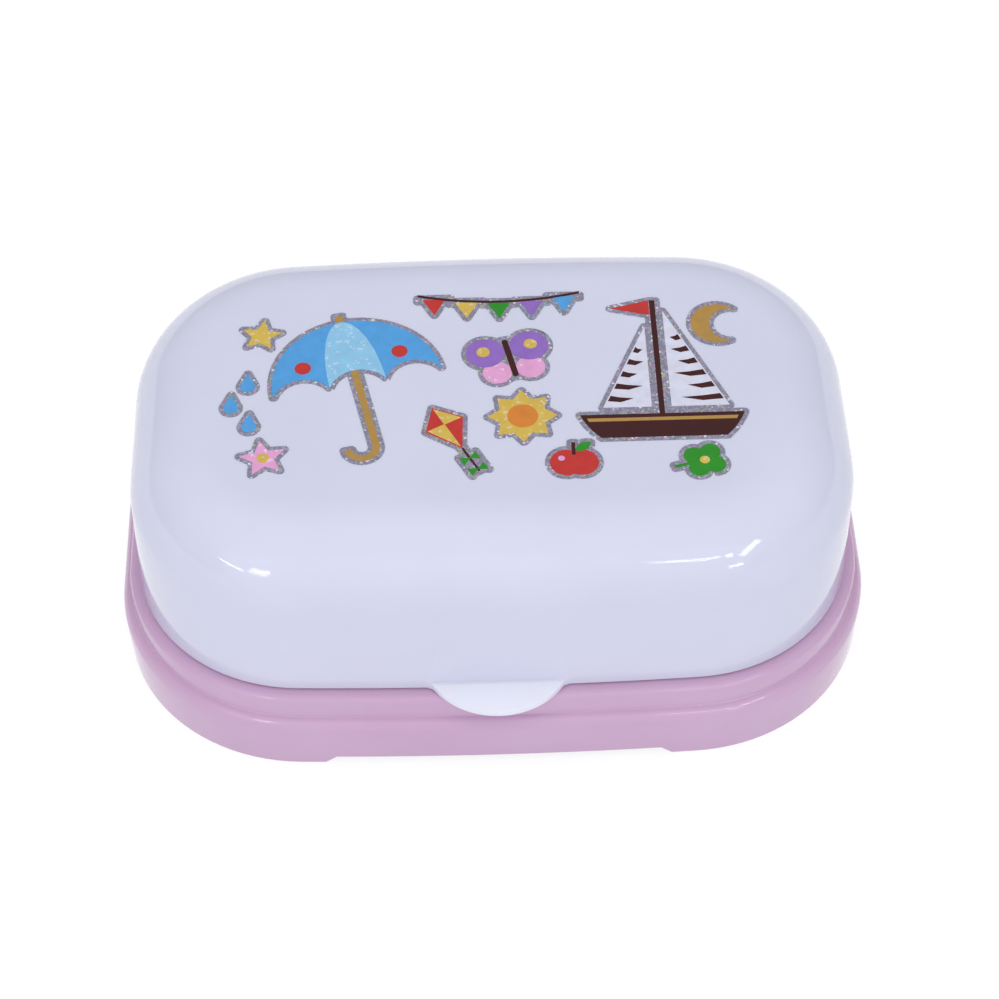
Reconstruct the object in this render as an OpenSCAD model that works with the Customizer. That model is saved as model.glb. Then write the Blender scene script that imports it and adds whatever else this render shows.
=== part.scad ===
// Travel soap box: a pink stepped base, a lift-out drain tray and a white domed lid.
// The lid turns on two stub pins at the back and has a thumb tab at the front.
// Origin: middle of the footprint, on the table. +X right, +Y back, +Z up. Millimetres.

/* [Plan] */
// Length of the base over the skirt
body_l = 126; // [122:1:136]
// Width of the base over the skirt, front to back at the middle
body_w = 82; // [79:1:90]
// Radius of the skirt's corners in plan
corner_r = 31.5; // [29:0.5:34]
// Angle that the gently bowed front and back sides turn through, each way from the middle
bow_a = 2.5; // [1.5:0.5:3.5]

/* [Base] */
// Height of the shoulder that the lid closes on
shoulder_z = 15.8; // [15:0.1:17]
// Height of the crease between the skirt and the upper band
crease_z = 11.1; // [10.3:0.1:11.9]
// Height of the rounding under that crease
shoulder_h = 2.4; // [1.8:0.1:3]
// How far the upper band stands in from the skirt
step_w = 1.6; // [1.4:0.1:2]
// Wall of the base and its skirt
base_wall = 1.6; // [1.2:0.1:1.8]
// Thickness of the basin's floor
floor_t = 1.5; // [1.2:0.1:2]
// Gap under the floor and under the arches between the feet
foot_h = 1.5; // [1:0.1:2]
// How much the skirt's wall leans in towards its foot
skirt_lean = 0.3; // [0.2:0.05:0.6]
// Length of the arch between the feet, front and back
arch_l = 55; // [46:1:60]
// Length of the arch between the feet, left and right
arch_w = 16; // [12:1:18]
// Height of the rim that stands up inside the lid
upstand_h = 5; // [4:0.1:5.5]
// Wall of that rim and of the basin under it
upstand_t = 1.5; // [1.2:0.1:1.8]

/* [Lid] */
// Height of the lid's flat top above the table
lid_top_z = 47.5; // [45:0.5:52]
// How far the lid's edge stands in from the skirt
lid_inset = 3.5; // [3.3:0.1:3.9]
// Wall of the lid
lid_wall = 1.8; // [1.5:0.1:2]
// Radius of the roll from the lid's wall to its top
lid_roll_r = 13; // [11:0.5:15]
// Lean of the lid's wall
lid_draft = 1; // [0.5:0.1:2]
// Gap between the lid's edge and the shoulder
rim_gap = 0.3; // [0.2:0.05:0.4]
// Gap between the lid's wall and the base's upstanding rim
lid_clear = 0.9; // [0.8:0.05:1.1]
// Width of the thumb tab where it leaves the lid
tab_l = 21.5; // [19:0.5:25]
// How far the thumb tab stands out from the lid's edge
tab_out = 5.8; // [5.4:0.1:6.4]
// Thickness of the thumb tab at the wall
tab_root_t = 1.4; // [1.2:0.1:2.6]
// Thickness of the thumb tab at its tip
tab_tip_t = 1; // [0.8:0.1:1.2]
// How proud each of the two snap beads stands
bead = 0.3; // [0.2:0.05:0.35]
// Length of the snap beads
bead_l = 26; // [16:1:34]

/* [Hinge] */
// Length of the lid's hinge barrel
barrel_l = 36; // [26:1:44]
// Radius of the barrel
barrel_r = 2.1; // [1.9:0.1:2.2]
// Radius of the stub pins
pin_r = 1.2; // [1:0.05:1.4]
// Radial clearance of a pin in its ear
pin_clear = 0.05; // [0.03:0.01:0.08]
// Thickness of each ear on the base
ear_t = 3; // [2.4:0.1:4]
// Gap between the barrel's end and an ear
ear_gap = 0.3; // [0.2:0.05:0.5]
// Height of the hinge axis above the shoulder
axis_up = 2.6; // [2.5:0.05:2.8]
// Distance from the lid's edge back to the hinge axis
axis_out = 2.9; // [2.8:0.05:3.1]
// Angle that the lid opens to, a hair short of the backs of the ears
stop_angle = 107; // [106:1:115]

/* [Drain tray] */
// Gap between the tray and the basin's wall
tray_clear = 0.5; // [0.3:0.05:0.8]
// Thickness of the tray's plate
tray_t = 1.5; // [1.2:0.1:2]
// Height of the tray's legs
leg_h = 5.6; // [5:0.1:6]
// Radius of the legs
leg_r = 2.4; // [2:0.1:3]
// Height of the tray's rim over its plate
tray_rim_h = 3.6; // [2.8:0.1:4.2]
// Wall of the tray's rim
tray_wall = 1.4; // [1.2:0.1:1.8]
// Width of a drain slot
slot_w = 3; // [2.4:0.1:3.6]
// Length of a drain slot
slot_l = 19; // [14:0.5:20]
// Distance from one slot to the next
slot_pitch = 8; // [7:0.5:10]
// Slots in each of the two rows
slot_count = 11; // [7:2:11]
// Width of the spine between the two rows of slots
spine_w = 6; // [5:0.5:9]
// Height of the ribs that hold the soap up
rib_h = 1.6; // [1:0.1:2]
// Width of a rib
rib_w = 1.6; // [1.2:0.1:2]
// Width of a lift tab at the tray's ends
lift_w = 13; // [10:1:15]
// Height of a lift tab over the tray's rim
lift_h = 3; // [2:0.1:3.4]

/* [Print] */
// Thickness of the transfer film
film_t = 0.15; // [0.1:0.01:0.2]
// Width of the foil border round each motif
foil_w = 0.75; // [0.5:0.05:0.9]

/* [Hidden] */
$fn = 96;

// Numbers of straight steps in a small arc and in the lid's large roll
small_arc = 8;
large_arc = 24;

// Plan: half sizes, the centres of the corners and the radius and centre of the bow
half_l = body_l / 2;
half_w = body_w / 2;
corner_x = half_l - corner_r;
corner_y = half_w - corner_r - corner_x * tan(bow_a / 2);
bow_r = corner_r + corner_x / sin(bow_a);
bow_y = bow_r - half_w;

// A flat plate goes round the outline to this near the corners' centres; a block closes it.
// The corners reach past the seam with the bowed sides by a hair, so that they fuse.
core_r = 1;
core_lap = 3;
plate_in = corner_r - core_r;
hair_a = 0.00004;

// Base: heights and insets, each inset measured inwards from the skirt
skirt_top = crease_z - shoulder_h;
band_r = 1.1;
band_lean = 0.05;
under_shoulder = shoulder_z - base_wall;
floor_top = foot_h + floor_t;
upstand_in = lid_inset + lid_wall + lid_clear;
upstand_top = shoulder_z + upstand_h;
upstand_lean = 0.15;
basin_in = upstand_in + upstand_lean + upstand_t;
edge_r = 0.45;
basin_r = 1.5;
floor_round = 1.1;

// Lid
lid_rim_z = shoulder_z + rim_gap;
roll_z = lid_top_z - lid_roll_r;
lid_lean = (roll_z - lid_rim_z) * tan(lid_draft);
flat_in = lid_inset + lid_lean + lid_roll_r;
lid_back_y = half_w - lid_inset;
tab_r = (pow(tab_l / 2, 2) + pow(tab_out, 2)) / (2 * tab_out);
tab_flare = 2.2;
bead_z = shoulder_z + upstand_h * 0.55;
bead_step = 2.2;

// Hinge
gusset_h = 2;
axis_y = lid_back_y + axis_out;
axis_z = shoulder_z + axis_up;
ear_x = barrel_l / 2 + ear_gap;
ear_front = 2.45;
ear_back = lid_back_y + tab_out - axis_y;
bow_drop = bow_r - sqrt(pow(bow_r, 2) - pow(ear_x, 2));
ear_heel = (axis_out + bow_drop + ear_back * cos(stop_angle)) / sin(stop_angle);
ear_cut = 0.6;
ear_foot = skirt_top - axis_z + ear_cut / 2;

// Drain tray
tray_in = basin_in + tray_clear;
tray_z = floor_top + leg_h;
tray_top = tray_z + tray_t;
tray_fillet = 1.2;
tray_flat_in = tray_in + tray_wall + tray_fillet;
tray_rim_top = tray_top + tray_rim_h;

// Print: one unit of the drawing along and across, with 92.36 by 48.36 units on the flat top
print_unit = [(body_l - 2 * flat_in) / 92.36, (body_w - 2 * flat_in) / 48.36];

// Points along an arc about c, from angle a0 to a1
function arc(c, r, a0, a1, n) =
    [for (i = [0:n]) let (a = a0 + (a1 - a0) * i / n) c + r * [cos(a), sin(a)]];

// A move in a coarse and a fine step, which keeps a long distance exact
module shift(v) {
    coarse = [for (c = v) round(100 * c) / 100];
    translate(coarse) translate(v - coarse) children();
}

// One profile, drawn as [inset, height], carried round the plan outline
module around() {
    for (sx = [0, 1], sy = [0, 1]) mirror([sx, 0]) mirror([0, sy]) {
        shift([corner_x, corner_y]) rotate_extrude(angle = 90 - bow_a + hair_a)
            shift([corner_r, 0]) mirror([1, 0]) children();
        shift([half_l, corner_y]) rotate([90, 0, 0])
            linear_extrude(corner_y + core_r) mirror([1, 0]) children();
    }
    for (sy = [0, 1]) mirror([0, sy]) shift([0, -bow_y])
        rotate_extrude(angle = 2 * bow_a, start = 90 - bow_a, $fn = 720)
            shift([bow_r, 0]) mirror([1, 0]) children();
}

// Block that closes the middle of a plate, inside the part of it that goes round the outline
module middle(z, t) {
    block = 2 * [corner_x + core_lap, half_w - corner_r + core_lap];
    translate([-block[0] / 2, -block[1] / 2, z]) cube([block[0], block[1], t]);
}

// Skirt, step, shoulder, upstanding rim and basin wall in one section
module base_section() {
    polygon(concat(
        [[skirt_lean + edge_r / 2, 0], [skirt_lean - edge_r / 8, edge_r]],
        [for (p = arc([1, 0], 1, 180, 90, small_arc)) [step_w * p[0], skirt_top + shoulder_h * p[1]]],
        arc([step_w + band_lean + band_r, shoulder_z - band_r], band_r, 180, 90, small_arc),
        [[upstand_in, shoulder_z]],
        arc([upstand_in + upstand_lean + edge_r, upstand_top - edge_r], edge_r, 180, 90, 4),
        arc([basin_in - edge_r, upstand_top - edge_r], edge_r, 90, 0, 4),
        arc([basin_in + basin_r, floor_top + basin_r], basin_r, 180, 270, small_arc),
        [[plate_in, floor_top], [plate_in, foot_h], [upstand_in + floor_round, foot_h]],
        [[upstand_in + upstand_lean, foot_h + floor_round], [upstand_in, under_shoulder]],
        [[step_w + base_wall, under_shoulder], [step_w + base_wall, skirt_top + upstand_lean]],
        [[base_wall, skirt_top - floor_round], [skirt_lean + base_wall, 0]]
    ));
}

// Arches between the four corner feet
module arches() {
    lead = 3;
    for (s = [-1, 1]) translate([0, s * half_w, 0]) rotate([90, 0, 0])
        linear_extrude(2 * upstand_in, center = true) polygon([
            [-arch_l / 2 - lead, -1], [-arch_l / 2 - lead, 0], [-arch_l / 2, foot_h],
            [arch_l / 2, foot_h], [arch_l / 2 + lead, 0], [arch_l / 2 + lead, -1]
        ]);
    for (s = [-1, 1]) translate([s * half_l, 0, 0]) rotate([90, 0, 90])
        linear_extrude(2 * upstand_in, center = true) polygon([
            [-arch_w / 2 - lead, -1], [-arch_w / 2 - lead, 0], [-arch_w / 2, foot_h],
            [arch_w / 2, foot_h], [arch_w / 2 + lead, 0], [arch_w / 2 + lead, -1]
        ]);
}

// Side view of a hinge ear: round in front, square at the back where the lid stops
module ear_side() {
    polygon(concat(
        [[ear_back, ear_foot], [ear_back, ear_heel - ear_cut], [ear_back - ear_cut, ear_heel]],
        [[0, ear_heel]],
        arc([0, 0], ear_front, 90, 180, small_arc),
        [[-ear_front, -axis_up - ear_cut], [-ear_front + ear_cut, ear_foot]]
    ));
}

module ears() {
    for (s = [-1, 1]) difference() {
        translate([s * (ear_x + ear_t / 2), axis_y, axis_z]) rotate([90, 0, 90])
            linear_extrude(ear_t, center = true) ear_side();
        translate([s * (ear_x + ear_t / 2), axis_y, axis_z]) rotate([0, 90, 0])
            cylinder(r = pin_r + pin_clear, h = ear_t + 2, center = true);
    }
}

// A low ridge along the front, flat on the wall that carries it
module snap_bead(y, z, out) {
    translate([0, y, z]) rotate([90, 0, 90]) linear_extrude(bead_l, center = true)
        polygon([
            [0.6 * out, -0.6], [0, -0.6], [-out * bead, -0.1],
            [-out * bead, 0.1], [0, 0.6], [0.6 * out, 0.6]
        ]);
}

module base_shell() {
    color([0.80, 0.68, 0.80]) {
        difference() {
            union() {
                around() base_section();
                middle(foot_h, floor_t);
            }
            arches();
        }
        ears();
        snap_bead(upstand_in - half_w, bead_z + bead_step / 2, 1);
    }
}

// Plan of the thumb tab: a bow that runs into the lid's wall over two small hollow curves
module tab_plan() {
    tip_c = [0, tab_r - tab_out];
    flare_c = [sqrt(pow(tab_r + tab_flare, 2) - pow(tip_c[1] + tab_flare, 2)), -tab_flare];
    flare_a = atan2(tip_c[1] + tab_flare, -flare_c[0]);
    translate([0, -lid_back_y]) polygon(concat(
        [[flare_c[0], lid_wall / 2]],
        arc(flare_c, tab_flare, 90, flare_a, small_arc),
        arc(tip_c, tab_r, flare_a - 180, -flare_a, large_arc),
        arc([-flare_c[0], -tab_flare], tab_flare, 180 - flare_a, 90, small_arc),
        [[-flare_c[0], lid_wall / 2]]
    ));
}

// The tab is thick at the wall and thins towards its tip; its underside is flat
module thumb_tab() {
    root_y = lid_wall / 2 - lid_back_y;
    tip_y = -lid_back_y - tab_out;
    intersection() {
        translate([0, 0, lid_rim_z]) linear_extrude(tab_root_t) tab_plan();
        rotate([90, 0, 90]) linear_extrude(2 * tab_l, center = true) polygon([
            [root_y, lid_rim_z], [tip_y - 1, lid_rim_z], [tip_y - 1, lid_rim_z + tab_tip_t],
            [tip_y, lid_rim_z + tab_tip_t], [root_y, lid_rim_z + tab_root_t]
        ]);
    }
}

// Edge, wall, roll and top of the lid in one section
module lid_section() {
    polygon(concat(
        [[lid_inset + lid_wall, lid_rim_z], [lid_inset + edge_r, lid_rim_z]],
        [[lid_inset, lid_rim_z + edge_r]],
        arc([flat_in, roll_z], lid_roll_r, 180, 90, large_arc),
        [[plate_in, lid_top_z], [plate_in, lid_top_z - lid_wall]],
        arc([flat_in, roll_z], lid_roll_r - lid_wall, 90, 180, large_arc)
    ));
}

// Hinge barrel, the web that carries it on the lid's back wall, and its two stub pins
module hinge_barrel() {
    translate([0, axis_y, axis_z]) {
        rotate([0, 90, 0]) cylinder(r = barrel_r, h = barrel_l, center = true);
        rotate([0, 90, 0]) cylinder(r = pin_r, h = 2 * (ear_x + ear_t), center = true);
        rotate([90, 0, 90]) linear_extrude(barrel_l, center = true) polygon([
            [-axis_out - lid_wall / 2, -barrel_r], [0, -barrel_r], [0, barrel_r],
            [-axis_out, barrel_r + gusset_h], [-axis_out - lid_wall / 2, barrel_r + gusset_h]
        ]);
    }
}

module lid_shell() {
    color([0.86, 0.87, 0.94]) {
        around() lid_section();
        middle(lid_top_z - lid_wall, lid_wall);
        thumb_tab();
        hinge_barrel();
        snap_bead(lid_inset + lid_wall - half_w, bead_z - bead_step / 2, -1);
    }
}

// Plate and rim of the tray, with a hollow curve between them
module tray_section() {
    polygon(concat(
        [[plate_in, tray_z], [tray_in + edge_r, tray_z], [tray_in, tray_z + edge_r]],
        [[tray_in, tray_rim_top - edge_r], [tray_in + edge_r, tray_rim_top]],
        [[tray_in + tray_wall, tray_rim_top]],
        arc([tray_flat_in, tray_top + tray_fillet], tray_fillet, 180, 270, small_arc),
        [[plate_in, tray_top]]
    ));
}

// Drain slots with round ends, in two rows beside the spine
module slots() {
    for (i = [0:slot_count - 1], s = [-1, 1])
        translate([(i - (slot_count - 1) / 2) * slot_pitch, s * (spine_w + slot_l) / 2, tray_z - 1]) {
            cube_l = slot_l - slot_w;
            translate([-slot_w / 2, -cube_l / 2, 0]) cube([slot_w, cube_l, tray_t + 2]);
            for (e = [-1, 1]) translate([0, e * cube_l / 2, 0])
                cylinder(r = slot_w / 2, h = tray_t + 2);
        }
}

module drain_tray() {
    leg_x = (slot_count - 2) / 2 * slot_pitch;
    leg_y = (spine_w + slot_l) / 2;
    rib_l = 2 * slot_l + spine_w;
    color([0.95, 0.95, 0.97]) {
        difference() {
            union() {
                around() tray_section();
                middle(tray_z, tray_t);
            }
            slots();
        }
        for (sx = [-1, 1], sy = [-1, 1]) translate([sx * leg_x, sy * leg_y, floor_top])
            cylinder(r = leg_r, h = leg_h);
        for (i = [0:slot_count - 2])
            translate([(i - (slot_count - 2) / 2) * slot_pitch - rib_w / 2, -rib_l / 2, tray_top])
                cube([rib_w, rib_l, rib_h]);
        for (s = [-1, 1])
            translate([s * (half_l - tray_in - tray_wall / 2) - tray_wall / 2, -lift_w / 2, tray_top])
                cube([tray_wall, lift_w, tray_rim_h + lift_h]);
    }
}

// One transfer print: its motif, grown by the foil border, as a film on the lid's top
module film(at, turn = 0) {
    translate([0, 0, lid_top_z]) linear_extrude(film_t) offset(r = foil_w, $fn = 32)
        translate([at[0] * print_unit[0], at[1] * print_unit[1]])
            scale(min(print_unit)) rotate(turn) children();
}

module disc(x, y, r) {
    translate([x, y]) circle(r, $fn = 48);
}

// A star with a point at the top
module star(points, r, inner_r) {
    polygon([for (i = [0:2 * points - 1]) let (a = 90 + 180 * i / points)
        (i % 2 == 0 ? r : inner_r) * [cos(a), sin(a)]]);
}

// Canopy with three scallops, shaft and crook
module print_umbrella() {
    r = 14;
    scallop = r / 3;
    color([0.34, 0.66, 0.90]) film([-21.5, 1.5], 12) {
        difference() {
            disc(0, 0, r);
            translate([-r - 1, -r - 1]) square([2 * r + 2, r + 1]);
            for (i = [-1:1]) translate([2 * i * scallop, -0.5 * scallop]) circle(r = 1.1 * scallop, $fn = 48);
        }
        translate([-0.6, -14]) square([1.2, r + 15.5]);
        difference() {
            disc(-2.3, -14, 2.9);
            disc(-2.3, -14, 1.7);
            translate([-6, -14]) square([5.9, 4]);
        }
    }
}

// Hull, mast, two sails and a pennant
module print_sailboat() {
    color([0.24, 0.08, 0.07]) film([27.5, 2.5]) {
        intersection() {
            disc(0, -4.5, 14.2);
            translate([-15, -14.5]) square([30, 5]);
        }
        translate([-0.6, -10]) square([1.2, 26]);
        polygon([[1.6, -8], [1.6, 13.5], [11, -8]]);
        polygon([[-1.6, -8], [-1.6, 10], [-9.5, -8]]);
        polygon([[-0.6, 16], [-7, 14.3], [-0.6, 12.6]]);
    }
}

// Disc with eight pointed rays
module print_sun() {
    color([0.85, 0.72, 0.30]) film([5, -6.8]) star(8, 5.6, 3.9);
}

module print_moon() {
    color([0.72, 0.56, 0.28]) film([38, 12.8], -20) difference() {
        disc(0, 0, 4.4);
        disc(2.2, 0.5, 3.6);
    }
}

// Two pairs of round wings and a slim body
module print_butterfly() {
    color([0.61, 0.45, 0.76]) film([3.5, 5.8], 12) {
        for (s = [-1, 1]) {
            disc(s * 3.7, 2.3, 3.2);
            disc(s * 2.8, -2.4, 2.4);
        }
        translate([-0.6, -4]) square([1.2, 8.6]);
    }
}

// Five pennants on a sagging string
module print_bunting() {
    color([0.77, 0.20, 0.18]) film([2, 19.4]) for (i = [-2:2]) {
        x = 5.4 * i;
        y = 0.28 * i * i - 1;
        translate([x, y]) polygon([[-1.9, 0.4], [1.9, 0.4], [0, -3.2]]);
        translate([x - 2.7, y]) square([5.4, 0.8]);
    }
}

// Diamond and a tail with two bows
module print_kite() {
    color([0.80, 0.22, 0.20]) film([-7.2, -9], 28) {
        polygon([[0, 5], [3.4, 0.9], [0, -5], [-3.4, 0.9]]);
        translate([-0.3, -10.5]) square([0.6, 6]);
        for (y = [-7.4, -10])
            polygon([[-1.5, y + 0.9], [-1.5, y - 0.9], [1.5, y + 0.9], [1.5, y - 0.9]]);
    }
}

module print_apple() {
    color([0.78, 0.19, 0.17]) film([12.8, -17]) {
        disc(-1.2, 0, 2.7);
        disc(1.2, 0, 2.7);
        translate([-0.35, 2]) square([0.7, 2.2]);
        intersection() {
            disc(2.2, 2.4, 1.9);
            disc(0.9, 4.2, 1.9);
        }
    }
}

// Four round leaves and a stem
module print_clover() {
    color([0.16, 0.56, 0.14]) film([33.5, -17.2], -75) {
        for (a = [45:90:315]) disc(1.9 * cos(a), 1.9 * sin(a), 1.7);
        translate([-0.3, -5]) square([0.6, 4]);
    }
}

module print_star_pink() {
    color([0.92, 0.67, 0.84]) film([-36.6, -14.4], 10) star(5, 3.8, 1.8);
}

module print_star_yellow() {
    color([0.84, 0.72, 0.31]) film([-37.4, 12.6], -8) star(5, 3.4, 1.6);
}

// Three rain drops
module print_drops() {
    drop_r = 1.2;
    color([0.34, 0.66, 0.90]) film([-40.4, -4]) for (d = [[1, 5.2], [-1.6, 0.6], [1.4, -3.6]]) translate(d) {
        disc(0, 0, drop_r);
        polygon([[-0.95 * drop_r, 0.3 * drop_r], [0.95 * drop_r, 0.3 * drop_r], [0, 2.4 * drop_r]]);
    }
}

base_shell();
drain_tray();
lid_shell();
print_umbrella();
print_sailboat();
print_sun();
print_moon();
print_butterfly();
print_bunting();
print_kite();
print_apple();
print_clover();
print_star_pink();
print_star_yellow();
print_drops();
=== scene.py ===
from math import atan2, cos, degrees, pi, radians, sin, sqrt, tan

import bpy
from mathutils import Matrix, Vector


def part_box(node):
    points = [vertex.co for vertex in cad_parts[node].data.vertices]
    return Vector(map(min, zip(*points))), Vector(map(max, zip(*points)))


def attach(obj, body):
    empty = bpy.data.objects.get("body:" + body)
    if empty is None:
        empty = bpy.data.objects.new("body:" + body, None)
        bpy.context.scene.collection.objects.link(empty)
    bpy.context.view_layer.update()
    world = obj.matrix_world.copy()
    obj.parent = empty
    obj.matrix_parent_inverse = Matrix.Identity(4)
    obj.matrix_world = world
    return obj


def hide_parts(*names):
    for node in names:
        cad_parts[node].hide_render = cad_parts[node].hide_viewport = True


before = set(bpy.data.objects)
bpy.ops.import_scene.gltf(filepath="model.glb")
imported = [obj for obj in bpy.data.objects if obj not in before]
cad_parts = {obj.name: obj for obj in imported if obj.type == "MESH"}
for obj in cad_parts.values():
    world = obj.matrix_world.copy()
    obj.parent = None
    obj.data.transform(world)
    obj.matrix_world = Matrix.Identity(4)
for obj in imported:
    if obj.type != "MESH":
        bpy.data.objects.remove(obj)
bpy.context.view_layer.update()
bpy.context.scene.view_settings.view_transform = "Standard"


# Base: one pink polypropylene moulding. Its stepped wall, shoulder, inner rim and basin are one
# section carried round the plan: a flat side, a round corner and a slightly bowed front and back.
# Lengths in this file are in millimetres until they are drawn.
mm = 0.001
merge_gap = 0.001 * mm
mirror_gap = 0.01 * mm
base_low, base_high = (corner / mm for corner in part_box("base_shell"))
half_l = base_high.x
half_w = -base_low.y
corner_r = 31.5
bow_a = radians(2.5)
corner_x = half_l - corner_r
corner_y = half_w - corner_r - corner_x * tan(bow_a / 2)
bow_r = corner_x / sin(bow_a)
bow_y = corner_r + bow_r - half_w
plate_in = corner_r - 1

shoulder_z = 15.8
crease_z = 11.1
shoulder_h = 2.4
skirt_top = crease_z - shoulder_h
step_w = 1.6
step_in = 1.65
band_r = 1.1
crease_r = 0.35
crease_sunk = 0.02
skirt_lean = 0.27
foot_h = 1.5
floor_top = 3.0
upstand_in = 6.2
upstand_lean = 0.15
upstand_top = 20.8
basin_in = 7.85
basin_r = 1.5
base_wall = 1.6
edge_r = 0.45
foot_cut = 0.2
under_crease = 1.1
under_step = 0.15
under_floor = 1.1


def start_at(name, point):
    """A mesh of one vertex, open in edit mode: a small plane that is merged at its middle"""
    bpy.ops.object.select_all(action="DESELECT")
    bpy.ops.mesh.primitive_plane_add(size=mm, location=Vector(point) * mm)
    piece = bpy.context.object
    piece.name = piece.data.name = name
    bpy.ops.object.transform_apply()
    bpy.ops.object.mode_set(mode="EDIT")
    bpy.ops.mesh.select_all(action="SELECT")
    bpy.ops.mesh.merge(type="CENTER")
    return piece


def draw_through(points):
    """The selected vertex is drawn out from point to point"""
    for here, there in zip(points, points[1:]):
        step = (Vector(there) - Vector(here)) * mm
        bpy.ops.mesh.extrude_vertices_move(TRANSFORM_OT_translate={"value": step})


def arc(centre, r, begin, end, steps):
    """Points on an arc, from one angle to another in degrees"""
    turns = [radians(begin + (end - begin) * i / steps) for i in range(steps + 1)]
    return [(centre[0] + r * cos(a), centre[1] + r * sin(a)) for a in turns]


def with_modifier(piece, kind, **settings):
    """One modifier, set and applied"""
    bpy.context.view_layer.objects.active = piece
    modifier = piece.modifiers.new(kind.title(), kind)
    for key, value in settings.items():
        setattr(modifier, key, value)
    bpy.ops.object.modifier_apply(modifier=modifier.name)
    return piece


def carried_round(name, section):
    """A section of (inset from the skirt, height) points, carried round the plan and closed"""
    line = [(half_l - inset, 0, z) for inset, z in section]
    piece = start_at(name, line[0])
    draw_through(line)
    bpy.ops.mesh.select_all(action="SELECT")
    bpy.ops.mesh.extrude_edges_move(TRANSFORM_OT_translate={"value": (0, -corner_y * mm, 0)})
    bpy.ops.mesh.spin(steps=24, angle=pi / 2 - bow_a, axis=(0, 0, 1),
                      center=(corner_x * mm, -corner_y * mm, 0))
    bpy.ops.mesh.spin(steps=8, angle=bow_a, axis=(0, 0, 1), center=(0, bow_y * mm, 0))
    bpy.ops.object.mode_set(mode="OBJECT")
    with_modifier(piece, "MIRROR", use_axis=(True, True, False), merge_threshold=mirror_gap)
    bpy.ops.object.mode_set(mode="EDIT")
    bpy.ops.mesh.select_all(action="SELECT")
    bpy.ops.mesh.remove_doubles(threshold=merge_gap)
    bpy.ops.mesh.fill_holes(sides=0)
    bpy.ops.mesh.select_all(action="SELECT")
    bpy.ops.mesh.normals_make_consistent(inside=False)
    bpy.ops.object.mode_set(mode="OBJECT")
    return piece


base = carried_round("base_moulding", [
    (plate_in, floor_top), (basin_in + 2 * basin_r, floor_top),
    *arc((basin_in + basin_r, floor_top + basin_r), basin_r, 270, 180, 8),
    *arc((basin_in - edge_r, upstand_top - edge_r), edge_r, 0, 90, 4),
    *arc((upstand_in + upstand_lean + edge_r, upstand_top - edge_r), edge_r, 90, 180, 4),
    *arc((upstand_in - crease_r, shoulder_z + crease_r), crease_r, 0, -90, 4),
    *arc((step_in + band_r, shoulder_z - band_r), band_r, 90, 180, 10),
    *arc((step_in - crease_r, crease_z + crease_r - crease_sunk), crease_r, 0, -88, 6),
    *[(step_w * u, skirt_top + shoulder_h * v) for u, v in arc((1, 0), 1, 107, 180, 12)],
    *arc((skirt_lean + edge_r, edge_r), edge_r, 180, 270, 5),
    (skirt_lean + base_wall - foot_cut, 0), (skirt_lean + base_wall, foot_cut),
    (base_wall, skirt_top - under_crease), (step_in + base_wall, skirt_top + under_step),
    (step_in + base_wall, shoulder_z - base_wall), (upstand_in, shoulder_z - base_wall),
    (upstand_in + upstand_lean, foot_h + under_floor), (upstand_in + under_floor, foot_h),
    (plate_in, foot_h),
])

# The skirt stands on four corner feet: between them its lower edge is lifted into a long arch at
# the front and back and a short one at each end.
along_x, along_y = Vector((1, 0, 0)), Vector((0, 1, 0))
long_arch = 26.9
short_arch = 8
arches = ((long_arch, along_x, along_y, half_w), (short_arch, along_y, along_x, half_l))
arch_lead = 3.0
arch_foot = 1.2
arch_slack = 0.1


def select_where(piece, wanted):
    """Selects a piece's vertices by their place in millimetres, and opens it in edit mode"""
    bpy.ops.object.mode_set(mode="EDIT")
    bpy.ops.mesh.select_mode(type="VERT")
    bpy.ops.mesh.select_all(action="DESELECT")
    bpy.ops.object.mode_set(mode="OBJECT")
    for vertex in piece.data.vertices:
        vertex.select = wanted(vertex.co / mm)
    bpy.ops.object.mode_set(mode="EDIT")


for half_arch, along, outward, reach in arches:
    for place in (half_arch, half_arch + arch_lead):
        for side in (-1, 1):
            select_where(base, lambda point: True)
            bpy.ops.mesh.bisect(plane_co=along * side * place * mm, plane_no=along)
            bpy.ops.object.mode_set(mode="OBJECT")
    select_where(base, lambda point: point.z < arch_foot
                 and abs(point.dot(along)) < half_arch + arch_slack
                 and abs(point.dot(outward)) > reach - upstand_in)
    bpy.ops.transform.translate(value=(0, 0, foot_h * mm))
    bpy.ops.object.mode_set(mode="OBJECT")


# Hinge ears: two lugs moulded on the back of the base, with a hole for the lid's stub pins.
# Each is round in front and square at the back, where the open lid stops against it.
ear_front = 2.45
ear_t = 3.0
ear_cut = 0.6
ear_edge = 0.25
axis_in = 0.6
axis_z = base_high.z - ear_front
axis_y = half_w - axis_in
ear_back = base_high.y - axis_y
ear_x = 18.3
pin_hole_r = 1.25
ear_heel = 2.38
ear_throat = -3.2
ear_foot = skirt_top - axis_z + ear_cut / 2
crosswise = (0, pi / 2, 0)


def prism(name, outline, low, high, put):
    """A flat outline, drawn where put places (u, v, low) and extruded to high"""
    points = [put(u, v, low) for u, v in outline]
    piece = start_at(name, points[0])
    draw_through(points)
    bpy.ops.mesh.select_all(action="SELECT")
    bpy.ops.mesh.edge_face_add()
    rise = (Vector(put(0, 0, high)) - Vector(put(0, 0, low))) * mm
    bpy.ops.mesh.extrude_region_move(TRANSFORM_OT_translate={"value": rise})
    bpy.ops.mesh.select_all(action="SELECT")
    bpy.ops.mesh.normals_make_consistent(inside=False)
    bpy.ops.object.mode_set(mode="OBJECT")
    return piece


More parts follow.
